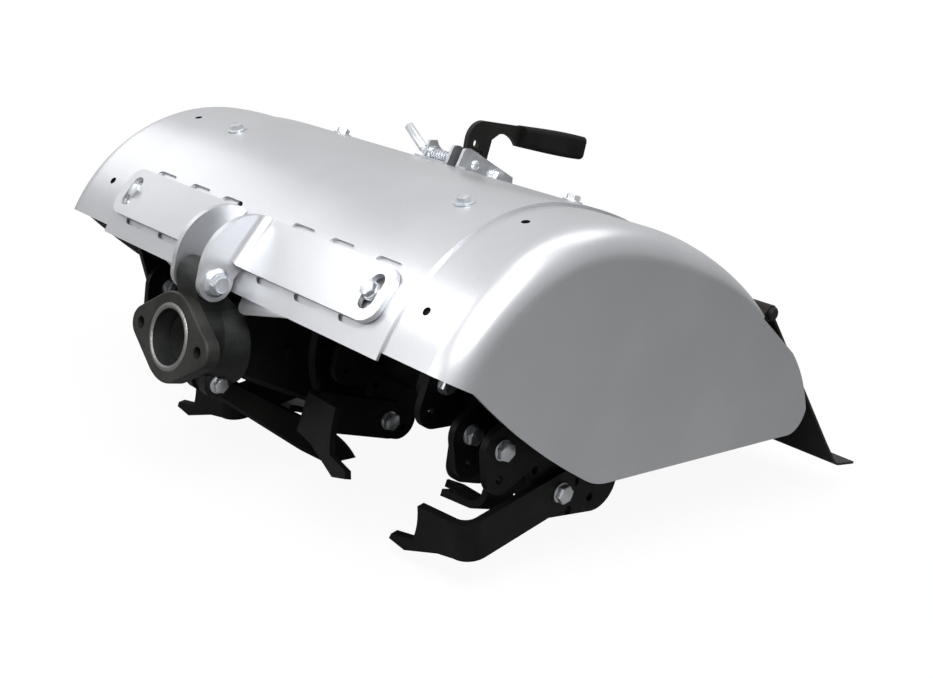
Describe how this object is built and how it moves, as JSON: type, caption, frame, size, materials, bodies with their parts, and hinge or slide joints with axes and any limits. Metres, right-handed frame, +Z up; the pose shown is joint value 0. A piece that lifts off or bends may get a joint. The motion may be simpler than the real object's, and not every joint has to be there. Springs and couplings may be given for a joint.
{
  "type": "rotary tiller attachment",
  "caption": "Rotary tiller attachment for a walking tractor: silver hood over a bolted tine rotor, quick-coupling flange, depth lever with skid and hinged rear flap.",
  "frame": {"origin": "on the floor, under the middle of the overall box", "axes": "+X along the rotor to the machine's left-hand end as driven, +Y rearward, +Z up"},
  "size_m": [0.67, 0.7816, 0.3994],
  "materials": {
    "hood_paint": "silver-grey metallic paint, satin",
    "cast_black": "black paint on cast iron, satin",
    "cast_bare": "bare dark casting with machined faces",
    "tine_steel": "black paint on forged steel, satin",
    "zinc": "bright zinc plate",
    "black_steel": "black paint, satin",
    "grip_rubber": "matt black rubber"
  },
  "bodies": {
    "frame": {"hood_centre": "hood_paint", "hood_side_left": "hood_paint", "hood_side_right": "hood_paint", "bracket_left": "hood_paint", "bracket_right": "hood_paint", "gear_case": "cast_black", "input_neck": "cast_bare", "ear_bolt": "zinc", "centre_ripper": "black_steel", "depth_bracket": "zinc", "plunger_pin": "zinc", "lever_pivot": "zinc", "hood_hinges": "black_steel", "hinge_rod": "zinc"},
    "input_shaft": {"jaw_coupler": "zinc"},
    "rotor": {"rotor_shaft": "tine_steel", "tine_flanges": "tine_steel", "tines_inner": "tine_steel", "tines_mid": "tine_steel", "tines_outer": "tine_steel"},
    "flap": {"rear_flap": "black_steel"},
    "depth_arm": {"depth_lever": "black_steel", "lever_grip": "grip_rubber", "depth_skid": "black_steel"}
  },
  "joints": [
    {"name": "input_spin", "type": "hinge", "parent": "frame", "child": "input_shaft", "pos_m": [0, -0.385, 0.177], "axis": [0, 0.991, -0.134], "continuous": true},
    {"name": "rotor_spin", "type": "hinge", "parent": "frame", "child": "rotor", "pos_m": [0, -0.143, 0.156], "axis": [1, 0, 0], "continuous": true},
    {"name": "flap_hinge", "type": "hinge", "parent": "frame", "child": "flap", "pos_m": [0, 0.134, 0.253], "axis": [1, 0, 0], "range_deg": [0, 60]},
    {"name": "depth_pivot", "type": "hinge", "parent": "frame", "child": "depth_arm", "pos_m": [0.025, -0.005, 0.339], "axis": [1, 0, 0], "range_deg": [0, 24]}
  ]
}
